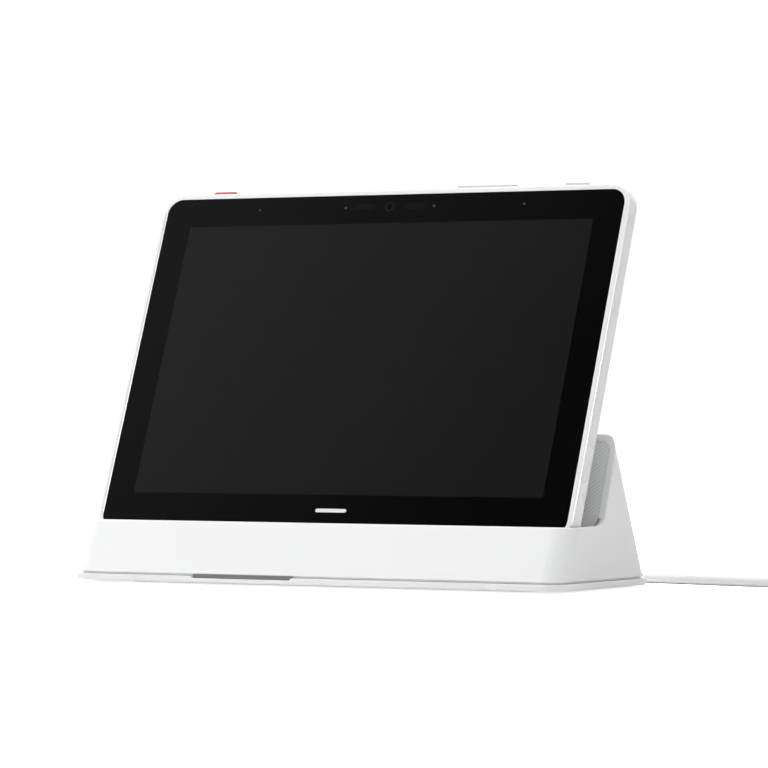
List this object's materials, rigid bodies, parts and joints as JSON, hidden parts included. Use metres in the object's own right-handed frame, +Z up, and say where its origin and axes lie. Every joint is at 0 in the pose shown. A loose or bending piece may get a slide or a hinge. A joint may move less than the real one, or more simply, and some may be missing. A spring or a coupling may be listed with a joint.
{
  "type": "smart display hub",
  "caption": "Tablet-type smart display leaning back in a wedge-shaped speaker and charging dock, with a side cable wound in a coil.",
  "frame": {"origin": "on the table, under the middle of the base plate", "axes": "+X to the right along the width, -Y to the front that the display faces, +Z up"},
  "size_m": [0.3328, 0.1435, 0.1469],
  "materials": {
    "white_shell": "satin white moulded shell",
    "glass": "black printed cover glass, polished",
    "red_button": "satin red moulded button",
    "cloth": "grey woven speaker cloth",
    "rubber": "grey silicone",
    "black_plastic": "black moulded plastic",
    "grey_plastic": "dark grey moulded plastic",
    "steel": "bright steel",
    "gold": "gold plated",
    "board": "green circuit board",
    "cell": "grey foil battery pouch",
    "cable": "white cable jacket",
    "weight": "dark cast weight"
  },
  "bodies": {
    "dock": {"dock_housing": "white_shell", "base_plate": "white_shell", "speaker_cloth": "cloth", "grille_frame": "grey_plastic", "speaker_baffle": "grey_plastic", "speaker_baskets": "grey_plastic", "speaker_magnets": "steel", "baffle_screws": "steel", "slot_liner": "rubber", "contact_block": "black_plastic", "contact_ribbon": "gold", "dock_board": "board", "board_parts": "black_plastic", "usb_socket": "steel", "board_screws": "steel", "ballast_bar": "weight", "port_mesh": "black_plastic", "base_screws": "steel", "rubber_feet": "rubber", "usb_plug": "cable", "strain_relief": "cable", "cable_run": "cable", "cable_coil": "cable", "coil_tie": "rubber", "cable_tail": "cable", "far_relief": "cable", "far_plug": "cable"},
    "tablet": {"tablet_shell": "white_shell", "cover_glass": "glass", "glass_adhesive": "black_plastic", "display_panel": "black_plastic", "mid_frame": "grey_plastic", "main_board": "board", "board_shields": "steel", "battery_cells": "cell", "camera_module": "black_plastic", "microphones": "steel", "key_switches": "grey_plastic", "tablet_speaker": "black_plastic", "charge_pads": "gold", "frame_screws": "steel"},
    "alarm_button": {"alarm_button": "red_button"},
    "volume_rocker": {"volume_rocker": "white_shell"},
    "power_button": {"power_button": "white_shell"},
    "contact_pins": {"contact_pins": "gold"},
    "speaker_cone_left": {"speaker_cone_left": "black_plastic"},
    "speaker_cone_right": {"speaker_cone_right": "black_plastic"}
  },
  "joints": [
    {"name": "tablet_lift", "type": "slide", "parent": "dock", "child": "tablet", "axis": [0, 0.3649, 0.9311], "range_m": [0, 0.04]},
    {"name": "alarm_press", "type": "slide", "parent": "tablet", "child": "alarm_button", "axis": [0, -0.3649, -0.9311], "range_m": [0, 0.0006], "stiffness_N_per_m": 1500, "springref_m": -0.0004},
    {"name": "power_press", "type": "slide", "parent": "tablet", "child": "power_button", "axis": [0, -0.3649, -0.9311], "range_m": [0, 0.0005], "stiffness_N_per_m": 1500, "springref_m": -0.0004},
    {"name": "volume_tip", "type": "hinge", "parent": "tablet", "child": "volume_rocker", "pos_m": [0.0381, 0.02848, 0.14178], "axis": [0, -0.9311, 0.3649], "range_deg": [-2, 2], "stiffness_Nm_per_rad": 0.6},
    {"name": "contact_sink", "type": "slide", "parent": "dock", "child": "contact_pins", "axis": [0, 0.3649, 0.9311], "range_m": [-0.0012, 0], "stiffness_N_per_m": 400, "springref_m": 0.0008},
    {"name": "cone_left_move", "type": "slide", "parent": "dock", "child": "speaker_cone_left", "axis": [0, -0.9382, 0.3461], "range_m": [-0.0005, 0.0005], "stiffness_N_per_m": 2000},
    {"name": "cone_right_move", "type": "slide", "parent": "dock", "child": "speaker_cone_right", "axis": [0, -0.9382, 0.3461], "range_m": [-0.0005, 0.0005], "stiffness_N_per_m": 2000}
  ]
}
